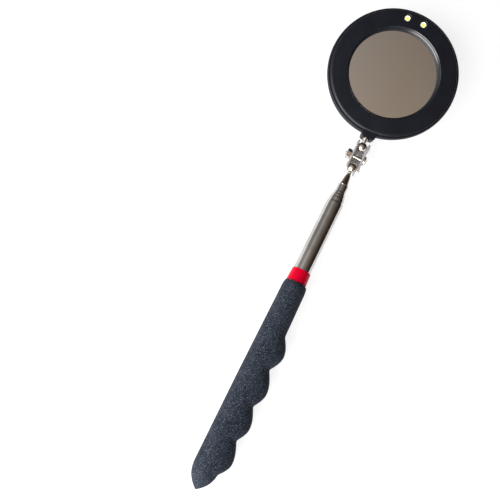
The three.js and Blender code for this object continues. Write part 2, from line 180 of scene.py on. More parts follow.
def prism(name, outline, low, high, edge=0.0, axis="Z", at=(0, 0, 0)):
    """Extrudes a flat outline from low to high, with the rims of both ends rounded by edge."""
    bm = bmesh.new()
    face = bm.faces.new([bm.verts.new((x, y, low)) for x, y in outline])
    grown = bmesh.ops.extrude_face_region(bm, geom=[face])
    moved = [item for item in grown["geom"] if isinstance(item, bmesh.types.BMVert)]
    bmesh.ops.translate(bm, vec=(0, 0, high - low), verts=moved)
    if edge:
        rims = [e for e in bm.edges if abs(e.verts[0].co.z - e.verts[1].co.z) < 1e-6]
        bmesh.ops.bevel(bm, geom=rims, offset=edge, segments=3, profile=0.5, affect="EDGES")
    bmesh.ops.rotate(bm, matrix=AXES[axis], verts=bm.verts)
    bmesh.ops.translate(bm, vec=at, verts=bm.verts)
    return to_piece(name, bm)


def block(name, low, high, edge=0.0):
    outline = [(low[0], low[1]), (high[0], low[1]), (high[0], high[1]), (low[0], high[1])]
    return prism(name, outline, low[2], high[2], edge)


def apply_modifiers(piece):
    depsgraph = bpy.context.evaluated_depsgraph_get()
    mesh = bpy.data.meshes.new_from_object(piece.evaluated_get(depsgraph))
    piece.modifiers.clear()
    piece.data = mesh
    return piece


def combine(piece, operation, tools):
    """Joins tools to a piece (UNION), cuts them out (DIFFERENCE) or keeps what they share (INTERSECT)."""
    for tool in tools:
        modifier = piece.modifiers.new(operation, "BOOLEAN")
        modifier.operation = operation
        modifier.solver = "EXACT"
        modifier.object = tool
    apply_modifiers(piece)
    for tool in tools:
        bpy.data.objects.remove(tool)
    return piece


def soften(piece, width, segments=2, angle=40):
    """Rounds every edge that is sharper than the angle."""
    modifier = piece.modifiers.new("soften", "BEVEL")
    modifier.width = width
    modifier.segments = segments
    modifier.limit_method = "ANGLE"
    modifier.angle_limit = math.radians(angle)
    return apply_modifiers(piece)


def place(piece, space, material, body, slot, *nodes):
    """Moves a piece from its space into the frame, gives it its material and body, and hides the CAD nodes it
    replaces; the slot is not used.
    """
    piece.data.transform(space)
    piece.data.materials.clear()
    piece.data.materials.append(material)
    piece.data.polygons.foreach_set("use_smooth", [True] * len(piece.data.polygons))
    piece.data.set_sharp_from_angle(angle=math.radians(32))
    weights = piece.modifiers.new("weights", "WEIGHTED_NORMAL")
    weights.keep_sharp = True
    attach(piece, body)
    if nodes:
        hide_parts(*nodes)
    return piece


# ---------------------------------------------------------------- material helpers
def surface(name, color, roughness, metallic=0.0):
    material = bpy.data.materials.new(name)
    material.use_nodes = True
    shader = material.node_tree.nodes["Principled BSDF"]
    shader.inputs["Base Color"].default_value = (*color, 1)
    shader.inputs["Roughness"].default_value = roughness
    shader.inputs["Metallic"].default_value = metallic
    return material


def shader_of(material):
    return material.node_tree.nodes["Principled BSDF"]


def link(material, source, target):
    material.node_tree.links.new(source, target)


def pattern(material, kind, per_mm, stretch=(1, 1, 1), **settings):
    """A texture in the piece's own space, repeating per_mm times in a millimetre."""
    tree = material.node_tree
    texture = tree.nodes.new("ShaderNodeTex" + kind)
    coordinates = tree.nodes.new("ShaderNodeTexCoord")
    mapping = tree.nodes.new("ShaderNodeMapping")
    mapping.inputs["Scale"].default_value = stretch
    link(material, coordinates.outputs["Object"], mapping.inputs["Vector"])
    link(material, mapping.outputs["Vector"], texture.inputs["Vector"])
    texture.inputs["Scale"].default_value = per_mm / MM
    for key, value in settings.items():
        if key in texture.inputs:
            texture.inputs[key].default_value = value
        else:
            setattr(texture, key, value)
    return texture.outputs["Distance" if kind == "Voronoi" else "Fac"]


def ramp(material, source, stops):
    """Maps a 0 to 1 value through (place, grey or colour) stops."""
    node = material.node_tree.nodes.new("ShaderNodeValToRGB")
    elements = node.color_ramp.elements
    while len(elements) < len(stops):
        elements.new(0.5)
    for element, (position, value) in zip(elements, stops):
        element.position = position
        color = value if isinstance(value, tuple) else (value, value, value)
        element.color = (*color, 1)
    link(material, source, node.inputs["Fac"])
    return node.outputs["Color"]


def mix(material, factor, first, second, blend="MIX"):
    node = material.node_tree.nodes.new("ShaderNodeMixRGB")
    node.blend_type = blend
    for socket, value in zip(node.inputs, (factor, first, second)):
        if isinstance(value, bpy.types.NodeSocket):
            link(material, value, socket)
        elif isinstance(value, tuple):
            socket.default_value = (*value, 1)
        else:
            socket.default_value = value
    return node.outputs["Color"]


def bump(material, height, depth_mm, strength=1.0, below=None):
    node = material.node_tree.nodes.new("ShaderNodeBump")
    node.inputs["Strength"].default_value = strength
    node.inputs["Distance"].default_value = depth_mm * MM
    link(material, height, node.inputs["Height"])
    if below:
        link(material, below, node.inputs["Normal"])
    return node.outputs["Normal"]


def set_input(material, name, value):
    socket = shader_of(material).inputs[name]
    if isinstance(value, bpy.types.NodeSocket):
        link(material, value, socket)
    else:
        socket.default_value = value


# ---------------------------------------------------------------- materials
def make_rubber():
    """Leather-grained moulded rubber, with painted shade in the grain's creases and a painted sheen that makes the
    grain's crests a little lighter.
    """
    material = surface("grip_rubber", (0.036, 0.042, 0.055), 0.7)
    cells = pattern(material, "Voronoi", 1.25, feature="DISTANCE_TO_EDGE")
    # painted shade and sheen: the cells' edges, the grain's creases, are painted dark and the cell centres light
    painted_crease_shade_and_sheen = ramp(material, cells, [(0.0, 0.0), (0.35, 1.0)])
    fine = pattern(material, "Noise", 1.5, Detail=3.0, Roughness=0.75)
    broad = pattern(material, "Noise", 0.08, Detail=2.0)
    grain = mix(material, 0.5, painted_crease_shade_and_sheen, fine)
    # colour from the grain: painted shade in the creases and painted sheen on the crests, with random tone from the
    # fine noise
    color = ramp(material, grain, [(0.25, (0.009, 0.012, 0.020)), (0.58, (0.041, 0.050, 0.070)),
                                   (0.82, (0.15, 0.168, 0.205))])
    worn = mix(material, ramp(material, broad, [(0.35, 0.0), (0.75, 0.2)]), color, (0.08, 0.09, 0.11))
    set_input(material, "Base Color", worn)
    set_input(material, "Roughness", ramp(material, fine, [(0.2, 0.6), (0.8, 0.85)]))
    set_input(material, "Normal", bump(material, grain, 0.16, 0.5))
    set_input(material, "Specular IOR Level", 0.08)
    return material


def make_shell():
    """Satin black moulded plastic with a fine spark-eroded grain and faint handling marks."""
    material = surface("shell_plastic", (0.008, 0.011, 0.018), 0.4)
    grain = pattern(material, "Noise", 5.0, Detail=4.0, Roughness=0.65)
    marks = pattern(material, "Noise", 0.12, Detail=5.0, Roughness=0.6)
    dust = pattern(material, "Noise", 1.2, stretch=(1, 0.35, 1), Detail=6.0, Roughness=0.7)
    set_input(material, "Roughness", ramp(material, marks, [(0.3, 0.40), (0.7, 0.52)]))
    tint = ramp(material, marks, [(0.3, (0.001, 0.002, 0.006)), (0.7, (0.002, 0.004, 0.010))])
    speck = ramp(material, dust, [(0.70, 0.0), (0.80, 0.2)])
    set_input(material, "Base Color", mix(material, speck, tint, (0.05, 0.055, 0.065)))
    set_input(material, "Normal", bump(material, grain, 0.02, 0.5))
    set_input(material, "Specular IOR Level", 0.43)
    return material


def make_shell_bevel():
    """The same plastic where the mould was polished, round the mirror."""
    material = surface("shell_bevel", (0.006, 0.009, 0.014), 0.22)
    marks = pattern(material, "Noise", 0.6, Detail=4.0)
    set_input(material, "Roughness", ramp(material, marks, [(0.3, 0.17), (0.7, 0.27)]))
    set_input(material, "Specular IOR Level", 0.8)
    return material


def make_mirror_glass():
    """A silvered mirror, slightly smeared."""
    material = surface("mirror_silver", (0.9, 0.89, 0.87), 0.02, 1.0)
    smears = pattern(material, "Noise", 0.05, stretch=(2.5, 1, 1), Detail=4.0)
    set_input(material, "Roughness", ramp(material, smears, [(0.35, 0.015), (0.75, 0.07)]))
    return material


def make_polished(name, color, roughness, streaks=(1, 1, 1)):
    """Plated metal with fine polishing lines."""
    material = surface(name, color, roughness, 1.0)
    lines = pattern(material, "Noise", 3.0, stretch=streaks, Detail=4.0, Roughness=0.6)
    cloud = pattern(material, "Noise", 0.15, Detail=3.0)
    low, high = roughness * 0.7, roughness * 1.6
    set_input(
        material, "Roughness", ramp(material, mix(material, 0.5, lines, cloud), [(0.3, low), (0.7, high)]),
    )
    dull = tuple(0.82 * value for value in color)
    set_input(material, "Base Color", ramp(material, cloud, [(0.35, dull), (0.65, color)]))
    set_input(material, "Normal", bump(material, lines, 0.004, 0.4))
    return material


def make_sheet_steel():
    """Barrel-plated sheet with a soft mottle."""
    material = surface("clip_plating", (0.66, 0.64, 0.65), 0.42, 0.75)
    pits = pattern(material, "Noise", 3.5, Detail=5.0, Roughness=0.75)
    cloud = pattern(material, "Noise", 0.5, Detail=3.0)
    set_input(
        material, "Base Color", ramp(material, cloud, [(0.35, (0.78, 0.77, 0.79)), (0.65, (0.86, 0.85, 0.87))]),
    )
    set_input(material, "Roughness", ramp(material, cloud, [(0.3, 0.50), (0.7, 0.62)]))
    set_input(material, "Normal", bump(material, pits, 0.012, 0.5))
    return material


def make_red():
    """Glossy red collar."""
    material = surface("collar_red", (0.74, 0.0015, 0.028), 0.28)
    flow = pattern(material, "Noise", 0.4, Detail=3.0)
    color = ramp(material, flow, [(0.3, (0.68, 0.001, 0.022)), (0.7, (0.78, 0.002, 0.03))])
    set_input(material, "Base Color", color)
    set_input(material, "Roughness", ramp(material, flow, [(0.3, 0.22), (0.7, 0.36)]))
    set_input(material, "Specular IOR Level", 0.12)
    return material


def make_lens():
    """Clear epoxy, seen mostly by its highlights."""
    material = surface("lamp_epoxy", (0.97, 0.97, 0.9), 0.03)
    haze = pattern(material, "Noise", 0.8, Detail=2.0)
    set_input(material, "Roughness", ramp(material, haze, [(0.3, 0.02), (0.7, 0.08)]))
    set_input(material, "Alpha", 0.1)
    set_input(material, "Specular IOR Level", 0.8)
    return material


# Emission in these materials is painted light: it stands in for light and highlights on a lamp that is not lit.
def make_glow(name, color, strength, mottle):
    material = surface(name, color, 0.5)
    grain = pattern(material, "Noise", 3.0, Detail=2.0)
    shade = tuple(value * mottle for value in color)
    tint = ramp(material, grain, [(0.35, shade), (0.65, color)])
    set_input(material, "Base Color", tint)
    set_input(material, "Emission Color", tint)
    set_input(material, "Emission Strength", strength)
    return material


def make_moulded(name, color, roughness, grain_mm=0.02):
    """Plain moulded or foamed stock for the inner pieces."""
    material = surface(name, color, roughness)
    grain = pattern(material, "Noise", 2.5, Detail=4.0)
    dark = tuple(0.8 * value for value in color)
    set_input(material, "Base Color", ramp(material, grain, [(0.35, dark), (0.65, color)]))
    set_input(material, "Normal", bump(material, grain, grain_mm, 0.5))
    return material


rubber = make_rubber()
shell = make_shell()
shell_bevel = make_shell_bevel()
silvered = make_mirror_glass()
chrome = make_polished("chrome_tube", (0.62, 0.60, 0.58), 0.09, streaks=(1, 0.03, 1))
bright = make_polished("bright_nickel", (0.70, 0.67, 0.62), 0.1, streaks=(0.3, 0.3, 0.3))
cone_plating = make_polished("cone_plating", (0.40, 0.33, 0.28), 0.16)
sheet_steel = make_sheet_steel()
screw_steel = make_polished("screw_steel", (0.55, 0.54, 0.53), 0.25)
brass = make_polished("spring_brass", (0.72, 0.55, 0.27), 0.25)
red = make_red()
lens = make_lens()
# the phosphor's yellow is its own colour; its glow is painted light, as the lamp is not lit
phosphor_painted_glow = make_glow("lamp_phosphor", (0.86, 0.84, 0.17), 0.62, 0.8)
# the reflector cup's white glow is a painted highlight standing in for the lens's glint, not lamp light
cup_painted_highlight = make_glow("lamp_reflector", (0.93, 0.94, 0.90), 0.8, 0.92)
grey_plastic = make_moulded("inner_plastic", (0.07, 0.074, 0.08), 0.55)
knob_plastic = make_moulded("knob_plastic", (0.045, 0.047, 0.052), 0.45)
foam = make_moulded("pad_foam", (0.75, 0.72, 0.66), 0.95, 0.15)
green_board = make_moulded("board_green", (0.01, 0.09, 0.035), 0.4)


# ---------------------------------------------------------------- handle
# The grip's reach to the finger side, as (y, reach): crests, the sharp valleys between them, and the ends.
FINGER_SIDE = [
    (11, 7.0, "valley"), (18.5, 11.2, "crest"), (29.4, 7.9, "valley"), (37.4, 11.5, "crest"),
    (47.9, 8.0, "valley"), (56.3, 11.65, "crest"), (67.9, 7.4, "valley"), (76.9, 11.4, "crest"),
    (86.6, 7.4, "valley"),
]
TAIL = 14
SHOULDER = 5


def finger_reach(y):
    first, last = FINGER_SIDE[0], FINGER_SIDE[-1]
    if y <= first[0]:
        return first[1]
    if y >= last[0]:
        return max(6.9, last[1] - 0.018 * (y - last[0]))
    for (start, low, kind), (end, high, _) in zip(FINGER_SIDE, FINGER_SIDE[1:]):
        if y <= end:
            share = (y - start) / (end - start)
            if kind == "valley":
                return low + (high - low) * math.sin(share * math.pi / 2)
            return high + (low - high) * math.sin((1 - share) * math.pi / 2)
    return last[1]


def grip_share(y, end):
    """What is left of the full section in the rounded tail and the drawn-in front."""
    tail = 1 - (1 - y / TAIL) ** 2.8 if y < TAIL else 1
    into = max(0.0, (y - end + SHOULDER) / SHOULDER)
    return tail * (1 - 0.08 * into**3)


def make_grip():
    start, end, _ = along_shaft("grip")
    low, high = extent("grip", SHAFT)
    half_height = (high.z - low.z) / 2
    sides, steps = 120, 330
    lip = 0.45
    stations = [end * (i / steps) ** 1.25 * 0.9965 + start for i in range(1, steps + 1)]
    bm = bmesh.new()
    rings = []
    for y in stations:
        reach = sum(finger_reach(y + shift) for shift in (-0.7, -0.35, 0, 0.35, 0.7)) / 5
        back = 6.85 - 0.45 * min(1, max(0, (y - 60) / 48))
        share = grip_share(y, end)
        ring = []
        for i in range(sides):
            angle = 2 * math.pi * i / sides
            side = reach if math.cos(angle) > 0 else back
            point = (side * share * math.cos(angle), y, half_height * share * math.sin(angle))
            ring.append(bm.verts.new(point))
        rings.append(ring)
    # The front lip turns in over a small radius and goes down the tube.
    tube = along_shaft("tube_1")[2] + 0.1
    outer = [vertex.co.copy() for vertex in rings[-1]]
    for turn in (30, 60, 90):
        inset = lip * (1 - math.cos(math.radians(turn)))
        y = outer[0].y + (end - outer[0].y) * math.sin(math.radians(turn))
        ring = []
        for co in outer:
            size = math.hypot(co.x, co.z)
            ring.append(bm.verts.new((co.x * (1 - inset / size), y, co.z * (1 - inset / size))))
        rings.append(ring)
    for y in (end, end - 3):
        rings.append([
            bm.verts.new(
                (tube * math.cos(2 * math.pi * i / sides), y, tube * math.sin(2 * math.pi * i / sides)),
            )
            for i in range(sides)
        ])
    tip = bm.verts.new((0, start, 0))
    for i in range(sides):
        j = (i + 1) % sides
        bm.faces.new((tip, rings[0][i], rings[0][j]))
        for lower, upper in zip(rings, rings[1:]):
            bm.faces.new((lower[i], lower[j], upper[j], upper[i]))
    bm.faces.new(rings[-1])
    place(to_piece("rubber_grip", bm), SHAFT, rubber, "handle", "grip", "grip")


def make_collar():
    start, end, radius = along_shaft("red_collar")
    far = radius - 0.4
    inside = along_shaft("tube_1")[2] + 0.08
    outline = rounded([
        (inside, start), (radius, start, 0.12), (radius - 0.02, start + 1.0), (far, end, 0.3),
        (inside, end, 0.1),
    ])
    place(lathe("collar_ring", outline, sides=128), SHAFT, red, "handle", "collar", "red_collar")


def make_tubes():
    count = 5
    wall = 0.25
    for stage in range(1, count + 1):
        name = f"tube_{stage}"
        start, end, radius = along_shaft(name)
        bore = radius - wall
        mouth = radius - 0.36 if stage < count else bore - 0.1
        inner = [(mouth, end, 0.08), (mouth, end - 1), (bore, end - 1.4)]
        if stage < count:
            taper = 1.15 if stage == 1 else 0.85
            outline = [
                (bore, start), (radius, start, 0.1), (radius, end - taper, 0.5),
                (radius - 0.12, end, 0.1), *inner,
            ]
        else:
            outline = [
                (bore, start), (radius, start, 0.1), (radius, end - 0.7, 0.1),
                (radius - 0.14, end - 0.6, 0.05),
                (radius - 0.02, end - 0.36, 0.12), (radius - 0.02, end, 0.2), *inner,
            ]
        body = "handle" if stage == 1 else f"stage_{stage}"
        place(lathe(f"{name}_chrome", rounded(outline), sides=96), SHAFT, chrome, body, "tube", name)


# ---------------------------------------------------------------- knuckle
BALL_RADIUS = along_shaft("lower_ball")[2]
LOWER_BALL = sum(along_shaft("lower_ball")[:2]) / 2
UPPER_BALL = sum(along_shaft("upper_ball")[:2]) / 2
SCREW_Y = (LOWER_BALL + UPPER_BALL) / 2
LEG_OUTSIDE = 3.75
LEG_TOP = 2.6
SHEET = 1.0
DOME_RADIUS = 4.6
WEB_NOTCH = 2.2
WEB_HOLE = 1.6


def make_tip_cone():
    start, seat, _ = along_shaft("tip_cone")
    shoulder = along_shaft("tube_5")[1]
    outline = rounded([
        (0, start), (2.5, start), (2.5, shoulder + 0.02), (2.45, shoulder + 0.35, 0.15),
        (1.4, seat - 1.25, 3),
        (0.95, seat - 0.9, 0.2), (1.3, seat - 0.45, 0.15), (0.85, seat, 0.1), (0, seat),
    ], 4)
    place(lathe("tip_cone_turned", outline, sides=64), SHAFT, cone_plating, "tip", "bright_parts", "tip_cone")


def make_ball(name, centre, facing):
    """A turned ball with a small flat and countersink where its pin goes in."""
    flat = math.degrees(math.asin(1.15 / BALL_RADIUS))
    outline = arc((0, 0), BALL_RADIUS, -90 + flat, 90, 40)
    rim = outline[0][1]
    outline = [(0, rim + 0.5), (0.75, rim + 0.35), (0.95, rim)] + outline
    outline[-1] = (0, BALL_RADIUS)
    points = [(radius, centre + facing * along) for radius, along in outline]
    return lathe(name, points, sides=72)


def make_clip():
    lowest, highest = extent("clip", SHAFT)
    web_low, leg_top = lowest.z, min(highest.z, LEG_TOP)
    low, high = LOWER_BALL - BALL_RADIUS, UPPER_BALL + BALL_RADIUS
    inside = LEG_OUTSIDE - SHEET
    section = rounded([
        (-LEG_OUTSIDE, leg_top, 0.25), (-LEG_OUTSIDE, web_low, 1.5), (LEG_OUTSIDE, web_low, 1.5),
        (LEG_OUTSIDE, leg_top, 0.25), (inside, leg_top, 0.25), (inside, web_low + SHEET, 0.55),
        (-inside, web_low + SHEET, 0.55), (-inside, leg_top, 0.25),
    ])
    channel = prism("clip_sheet", [(x, -z) for x, z in section], low, high, axis="Y")
    side = rectangle(low, web_low - 0.01, high, leg_top + 0.01, 1.9)
    trim = prism("trim", [(-z, y) for y, z in side], -9, 9, axis="X")
    combine(channel, "INTERSECT", [trim])
    domes, hollows = [], []
    for y in (LOWER_BALL, UPPER_BALL):
        for facing in (-1, 1):
            cap = [(0, facing * DOME_RADIUS)]
            cap += [(r, facing * x) for r, x in arc((0, 0), DOME_RADIUS, 84, 58, 8)]
            cap += [(2.55, facing * (LEG_OUTSIDE + 0.08)), (2.6, facing * (LEG_OUTSIDE - 0.02))]
            cap += [(2.6, facing * (LEG_OUTSIDE - 0.5)), (0, facing * (LEG_OUTSIDE - 0.5))]
            domes.append(lathe("dome", cap, axis="X", sides=40, at=(0, y, 0)))
        ball = [(0, -BALL_RADIUS - 0.15)] + arc((0, 0), BALL_RADIUS + 0.15, -85, 85, 24) + [
            (0, BALL_RADIUS + 0.15),
        ]
        hollows.append(lathe("hollow", ball, axis="X", sides=48, at=(0, y, 0)))
    combine(channel, "UNION", domes)
    combine(channel, "DIFFERENCE", hollows)
    cuts = []
    for y, away in ((LOWER_BALL, low - 1), (UPPER_BALL, high + 1)):
        cuts.append(prism("hole", circle(WEB_HOLE, 9, y=y), -10, 0))
        cuts.append(block("notch", (-WEB_NOTCH, min(y, away), -10), (WEB_NOTCH, max(y, away), -1)))
    cuts.append(prism("bore", circle(1.45, 12), -9, 9, axis="X", at=(0, SCREW_Y, 0)))
    combine(channel, "DIFFERENCE", cuts)
    soften(channel, 0.09, 2, 45)
    place(channel, SHAFT, sheet_steel, "clip", "knuckle_sheet", "clip")


def cross(depth_low, depth_high, half, width):
    """Two crossing bars that cut a screw's recess, along Z."""
    one = block("cross", (-half, -width, depth_low), (half, width, depth_high))
    two = block("cross", (-width, -half, depth_low), (width, half, depth_high))
    return [one, two]


def turn_across(piece):
    """Turns a piece made along Z so that it points along X at the clamp screw's place."""
    piece.data.transform(Matrix.Translation((0, SCREW_Y, 0)) @ Matrix.Rotation(math.pi / 2, 4, "Y"))
    return piece


def make_clamp_screw():
    low, high = extent("clamp_screw", SHAFT)
    seat = LEG_OUTSIDE + 0.02
    crown = high.x
    thread = []
    pitch = 0.5
    turns = int((-LEG_OUTSIDE + SHEET - low.x) / pitch)
    for i in range(turns):
        base = low.x + 0.3 + i * pitch
        thread += [
            (1.1, base), (1.27, base + pitch * 0.35), (1.27, base + pitch * 0.5), (1.1, base + pitch * 0.85),
        ]
    outline = [(0, low.x), (0.85, low.x), *thread, (1.27, thread[-1][1] + 0.3), (1.27, seat)]
    outline += rounded([(2.75, seat, 0.1), (2.9, seat + 0.9, 0.3), (1.5, crown, 0.9), (0, crown)], 6)
    screw = lathe("clamp_screw_turned", outline, axis="Z", sides=56)
    combine(screw, "DIFFERENCE", cross(crown - 1.15, crown + 1, 1.65, 0.36))
    place(turn_across(screw), SHAFT, bright, "clip", "bright_parts", "clamp_screw")


def make_clamp_nut():
    low, high = extent("clamp_nut", SHAFT)
    corner = (high.z - low.z) / 2
    nut = prism("clamp_nut_hex", circle(corner, 60), low.x, high.x)
    cone = [
        (0, low.x), (2.45, low.x), (corner + 0.2, low.x + 0.55), (corner + 0.2, high.x - 0.55),
        (2.45, high.x),
        (0, high.x),
    ]
    combine(nut, "INTERSECT", [lathe("cone", cone, axis="Z", sides=72)])
    bore = rounded([
        (0, low.x - 1), (1.75, low.x - 1), (1.75, low.x), (1.3, low.x + 0.4), (1.3, high.x + 1),
        (0, high.x + 1),
    ])
    combine(nut, "DIFFERENCE", [lathe("bore", bore, axis="Z", sides=40)])
    soften(nut, 0.08)
    place(turn_across(nut), SHAFT, bright, "clip", "bright_parts", "clamp_nut")


# ---------------------------------------------------------------- head
OPENING = 25.2
STUD_DEPTH = 2.75
NECK_HALF = 4.0
NECK_OFFSET = 0.7
STUD_RADIUS = 1.3
FLANGE_RADIUS = 1.75
FLANGE_LOW = -37.4
FLANGE_HIGH = -36.4
NECK_TIP = extent("bezel", HEAD)[0].y
RIM_RADIUS = extent("back_cover", HEAD)[1].x
BACK = extent("battery_door", HEAD)[0].z
FLOOR = BACK + 1.4
DOOR_TONGUE = 1.8
SCREW_CIRCLE = 30.3
SCREW_ANGLES = (40, 140, 220, 320)
RING_SIDES = 240


def make_stud():
    low, high = extent("upper_stud", HEAD)
    root, end = low.y, high.y
    outline = rounded([
        (0, root), (1.15, root, 0.1), (1.25, root + 0.45, 0.15), (1.1, root + 0.8, 0.2),
        (1.6, NECK_TIP + 0.3, 0.5),
        (STUD_RADIUS, FLANGE_LOW - 1.2), (STUD_RADIUS, FLANGE_LOW, 0.1), (FLANGE_RADIUS, FLANGE_LOW, 0.15),
        (FLANGE_RADIUS, FLANGE_HIGH, 0.15), (STUD_RADIUS, FLANGE_HIGH, 0.1), (STUD_RADIUS, end, 0.5),
        (0, end),
    ], 3)
    stud = lathe("stud_turned", outline, sides=56, at=(0, 0, -STUD_DEPTH))
    place(stud, HEAD, bright, "stud", "bright_parts", "upper_stud")


def neck_half(name, low, high, edge, clearance=0.0):
    half = NECK_HALF + clearance
    outline = rectangle(NECK_OFFSET - half, NECK_TIP - clearance, NECK_OFFSET + half, -31, 1.7)
    return prism(name, outline, low, high, edge)


def neck_cuts():
    radius = STUD_RADIUS + 0.45
    around = FLANGE_RADIUS + 0.2
    bore = [(0, NECK_TIP - 1), (radius, NECK_TIP - 1), (radius, -32.6), (0, -32.6)]
    under, over = FLANGE_LOW - 0.25, FLANGE_HIGH + 0.25
    flange = [(0, under), (around, under), (around, over), (0, over)]
    at = (0, 0, -STUD_DEPTH)
    return [
        lathe("bore", bore, sides=40, at=at),
        lathe("flange", flange, sides=40, at=at),
        block("slot", (-radius, NECK_TIP - 1, -STUD_DEPTH), (radius + 0.4, NECK_TIP + 0.7, 1)),
    ]


def lamp_places():
    places = []
    for node in ("led_1", "led_2"):
        low, high = extent(node, HEAD)
        places.append(((low.x + high.x) / 2, (low.y + high.y) / 2, high.z))
    return places


def make_bezel():
    outline = rounded([
        (OPENING, -2.4), (25.3, -1.15, 0.1), (25.85, -0.66, 0.08), (25.93, -0.7, 0.04), (26.05, -0.44, 0.05),
        (26.5, 0, 0.1), (36.2, 0, 1.6), (36.2, -3.2), (35, -3.2), (35, -1.8), (28.9, -1.8),
        (28.9, -4.4), (27.4, -4.4),
        (27.4, -2.4),
    ], 8)
    ring = lathe("bezel_ring", outline, axis="Z", sides=RING_SIDES)
    neck = neck_half("neck", -STUD_DEPTH + 0.1, -0.4, 0.45)
    inner = [(0, -9), (28, -9), (28, 1), (0, 1)]
    combine(neck, "DIFFERENCE", [lathe("inner", inner, axis="Z", sides=96)])
    combine(ring, "UNION", [neck])
    cuts = neck_cuts()
    for x, y, _ in lamp_places():
        lip = [(0, -3), (2.0, -3), (2.0, -0.32)] + arc((2.35, -0.32), 0.35, 180, 90, 5)[1:] + [
            (2.35, 0.5), (0, 0.5),
        ]
        cuts.append(lathe("lamp_hole", lip, axis="Z", sides=48, at=(x, y, 0)))
    combine(ring, "DIFFERENCE", cuts)
    place(ring, HEAD, shell, "head", "shell", "bezel")
    # a thin polished skin over the bevel's two steps
    skin = [
        (25.3, -1.12), (25.84, -0.62), (25.93, -0.66), (26.05, -0.4), (26.42, -0.01), (26.5, -0.08),
        (26.1, -0.55),
        (25.5, -1.1),
    ]
    place(lathe("bezel_bevel", skin, axis="Z", sides=RING_SIDES), HEAD, shell_bevel, "head", "shell")


def screw_places():
    angles = [math.radians(angle) for angle in SCREW_ANGLES]
    return [(SCREW_CIRCLE * math.cos(angle), SCREW_CIRCLE * math.sin(angle)) for angle in angles]


def make_back_cover():
    outline = rounded([
        (0, BACK), (33.6, BACK, 1.2), (34.9, BACK + 1.7, 0.8), (36.95, -5.5, 2), (RIM_RADIUS, -2.75, 0.4),
        (37.3, -1.9, 0.3), (36.9, -1.25, 0.15), (36.32, -1.2, 0.05), (36.32, -3.4), (35.5, -3.6),
        (33.5, FLOOR + 0.8), (32.7, FLOOR), (0, FLOOR),
    ], 6)
    cover = lathe("back_shell", outline, axis="Z", sides=RING_SIDES)
    neck = neck_half("neck", -7.2, -STUD_DEPTH - 0.1, 0.45)
    inside = [(0, -8), (33.2, -8), (33.2, -3.4), (36.5, -3.4), (36.5, 0), (0, 0)]
    combine(neck, "DIFFERENCE", [lathe("inside", inside, axis="Z", sides=96)])
    bosses = [
        lathe(
            "boss", [(0, FLOOR - 0.1), (2.9, FLOOR - 0.1), (2.9, -6.5), (0, -6.5)], axis="Z", sides=32, at=(x, y, 0),
        )
        for x, y in screw_places()
    ]
    combine(cover, "UNION", [neck, *bosses])
    cuts = [neck_half("clear", -STUD_DEPTH - 0.1, 0, 0, 0.25), *neck_cuts()]
    for x, y in screw_places():
        sink = [
            (0, BACK - 1), (2.5, BACK - 1), (2.5, BACK - 0.02), (2.1, BACK + 0.3), (2.1, BACK + 1.8),
            (1.2, BACK + 1.8), (1.2, 0), (0, 0),
        ]
        cuts.append(lathe("sink", sink, axis="Z", sides=40, at=(x, y, 0)))
    low, high = extent("battery_door", HEAD)
    left = low.x + DOOR_TONGUE
    cuts.append(prism("door_opening", rectangle(left - 0.2, low.y - 0.2, high.x + 0.2, high.y + 0.2, 3.2),
                      BACK - 1, FLOOR + 1))
    low, high = extent("switch_knob", HEAD)
    y = (low.y + high.y) / 2
    cuts.append(prism("knob_slot", rectangle(-3, y - 1.1, 3, y + 1.1, 0.8), BACK - 1, FLOOR + 1))
    combine(cover, "DIFFERENCE", cuts)
    place(cover, HEAD, shell, "head", "shell", "back_cover")


def make_door():
    low, high = extent("battery_door", HEAD)
    left = low.x + DOOR_TONGUE
    middle = (low.y + high.y) / 2
    door = prism("battery_door_moulded", rectangle(left, low.y, high.x, high.y, 3), BACK, FLOOR, 0.22)
    tongue = block("tongue", (low.x, middle - 3, FLOOR + 0.02), (left + 2, middle + 3, FLOOR + 0.9), 0.1)
    ribs = []
    for i in range(5):
        x = left + 3.2 + i * 1.5
        groove = rectangle(x - 0.3, middle - 4.5, x + 0.3, middle + 4.5, 0.28)
        ribs.append(prism("rib", groove, BACK - 0.001, BACK + 0.4))
    combine(door, "UNION", [tongue])
    combine(door, "DIFFERENCE", ribs)
    screw_low, screw_high = extent("battery_door_screw", HEAD)
    x = (screw_low.x + screw_high.x) / 2
    hole = [(0, BACK - 1), (2.15, BACK - 1), (2.15, BACK - 0.01), (1.95, BACK + 0.2), (1.95, BACK + 0.8),
            (1.1, BACK + 0.8), (1.1, 0), (0, 0)]
    combine(door, "DIFFERENCE", [lathe("hole", hole, axis="Z", sides=40, at=(x, middle, 0))])
    place(door, HEAD, shell, "head", "shell", "battery_door")


def make_pan_screw(node):
    """A small pan-head screw seen from behind, with a cross recess."""
    low, high = extent(node, HEAD)
    radius = (high.x - low.x) / 2
    top, under = low.z, low.z + 1.3
    outline = rounded([
        (0, top), (radius - 0.15, top, 0.5), (radius, top + 0.6, 0.2), (radius, under, 0.08),
        (0.85, under, 0.05),
        (0.85, high.z - 0.5), (0, high.z),
    ])
    screw = lathe(f"{node}_turned", outline, axis="Z", sides=48)
    combine(screw, "DIFFERENCE", cross(top - 1, top + 0.65, 1.05, 0.2))
    at = ((low.x + high.x) / 2, (low.y + high.y) / 2, 0)
    screw.data.transform(Matrix.Translation(at))
    place(screw, HEAD, screw_steel, "head", "small_steel", node)


